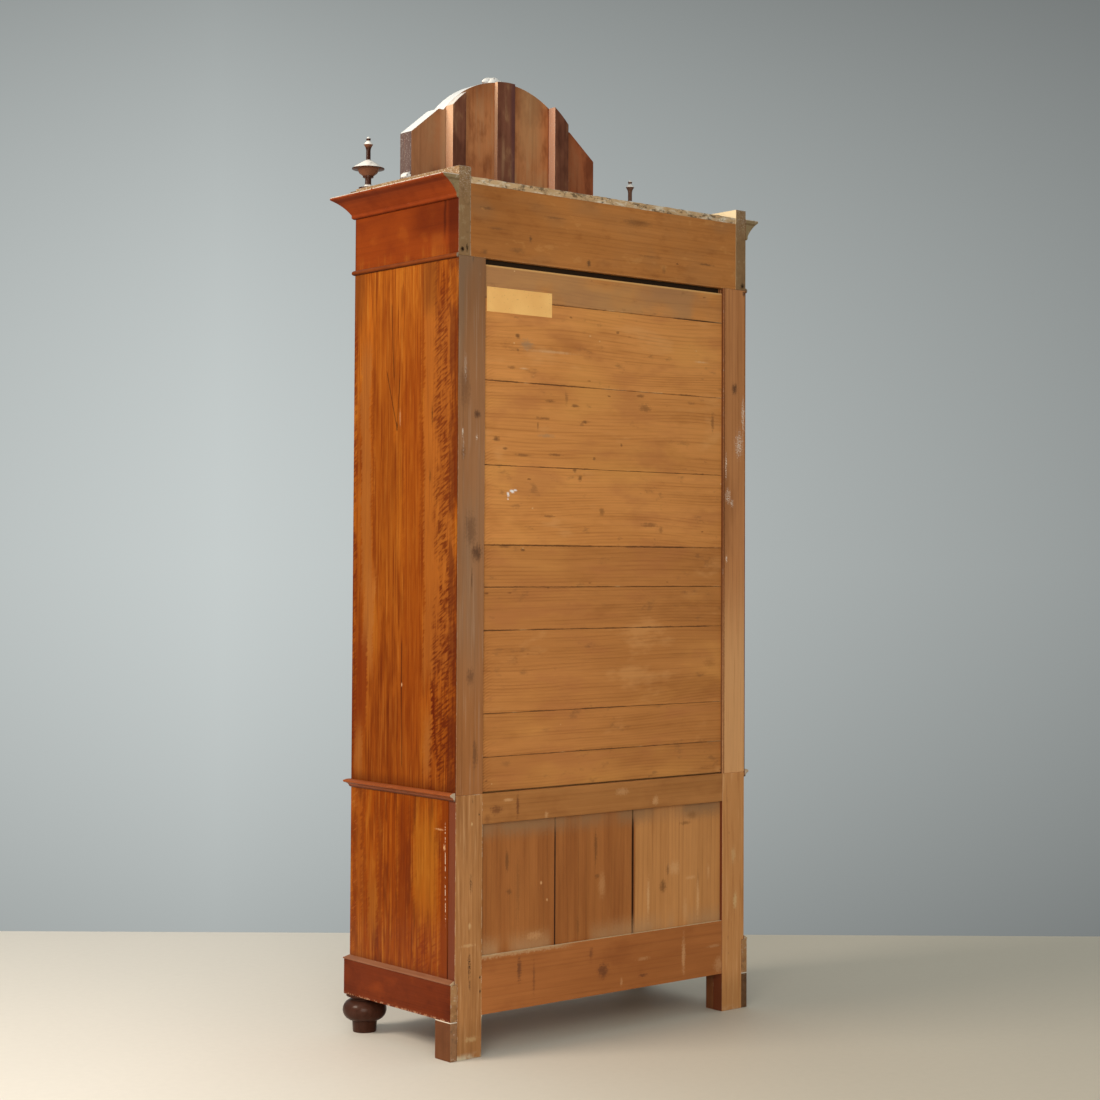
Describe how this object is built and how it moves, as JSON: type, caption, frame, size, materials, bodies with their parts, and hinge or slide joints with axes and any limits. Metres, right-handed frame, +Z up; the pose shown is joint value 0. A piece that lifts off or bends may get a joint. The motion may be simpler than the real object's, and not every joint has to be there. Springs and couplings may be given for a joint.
{
  "type": "mirror-door wardrobe",
  "caption": "Tall mirror-door wardrobe over drawers, with a moulded cornice box, arched crest, turned finials, bun feet and a boarded back between corner posts.",
  "frame": {"origin": "on the floor, at the middle of the overall width and depth", "axes": "+Z up; the door and drawers face -Y, the boarded back faces +Y; +X is to the right of someone who faces the door"},
  "size_m": [1.152, 0.534, 2.703],
  "materials": {
    "walnut_veneer": "french polished, striped",
    "polished_walnut": "french polished",
    "dark_walnut": "stained and polished",
    "corner_post_wood": "bare, aged",
    "fir_boards": "bare, aged",
    "inside_wood": "bare",
    "mirror_glass": "silvered",
    "aged_brass": "aged",
    "iron": "dark, worn"
  },
  "bodies": {
    "carcass": {"base_back_boards": "fir_boards", "base_back_bottom_rail": "fir_boards", "base_back_top_rail": "fir_boards", "base_posts": "corner_post_wood", "base_sides": "inside_wood", "base_stiles": "polished_walnut", "base_veneers": "walnut_veneer", "bun_feet": "dark_walnut", "case_floor": "inside_wood", "case_top": "inside_wood", "cornice_moulding": "dark_walnut", "crest_base": "dark_walnut", "crest_battens": "corner_post_wood", "crest_frame": "polished_walnut", "crest_ornament": "dark_walnut", "crest_panel": "polished_walnut", "door_frame_rails": "polished_walnut", "drawer_rails": "polished_walnut", "drawer_runners": "inside_wood", "finials": "dark_walnut", "frieze_bead": "dark_walnut", "hanging_rail": "inside_wood", "hat_back": "fir_boards", "hat_front": "polished_walnut", "hat_shelf": "inside_wood", "hat_sides": "polished_walnut", "hat_top": "fir_boards", "hinge_pins": "aged_brass", "leg_packing": "corner_post_wood", "lock_keep": "aged_brass", "plinth_boards": "dark_walnut", "plinth_moulding": "dark_walnut", "rail_sockets": "inside_wood", "shelf_cleats": "inside_wood", "upper_back_boards": "fir_boards", "upper_posts": "corner_post_wood", "upper_sides": "inside_wood", "upper_stiles": "polished_walnut", "upper_veneers": "walnut_veneer", "waist_moulding": "dark_walnut"},
    "door": {"door_stiles": "polished_walnut", "door_top_rail": "polished_walnut", "door_bottom_rail": "polished_walnut", "door_mirror": "mirror_glass", "door_backing": "fir_boards", "door_sight_bead": "dark_walnut", "hinge_sockets": "aged_brass", "lock_case": "iron", "key_escutcheon": "aged_brass"},
    "key": {"door_key": "iron"},
    "bolt": {"lock_bolt": "iron"},
    "lower_drawer": {"lower_drawer_front": "polished_walnut", "lower_drawer_box": "inside_wood", "lower_drawer_bottom": "inside_wood", "lower_drawer_knobs": "dark_walnut"},
    "upper_drawer": {"upper_drawer_front": "polished_walnut", "upper_drawer_box": "inside_wood", "upper_drawer_bottom": "inside_wood", "upper_drawer_knobs": "dark_walnut"}
  },
  "joints": [
    {"name": "door_swing", "type": "hinge", "parent": "carcass", "child": "door", "pos_m": [-0.417, -0.2085, 1.3675], "axis": [0, 0, -1], "range_deg": [0, 110]},
    {"name": "key_turn", "type": "hinge", "parent": "door", "child": "key", "pos_m": [0.382, -0.201, 1.31353], "axis": [0, 1, 0], "range_deg": [0, 180]},
    {"name": "bolt_slide", "type": "slide", "parent": "door", "child": "bolt", "axis": [1, 0, 0], "range_m": [0, 0.012]},
    {"name": "lower_drawer_slide", "type": "slide", "parent": "carcass", "child": "lower_drawer", "axis": [0, -1, 0], "range_m": [0, 0.33]},
    {"name": "upper_drawer_slide", "type": "slide", "parent": "carcass", "child": "upper_drawer", "axis": [0, -1, 0], "range_m": [0, 0.33]}
  ],
  "couplings": [
    {"joint": "key_turn", "follows": "bolt_slide", "rad_per_m": 261.8}
  ]
}
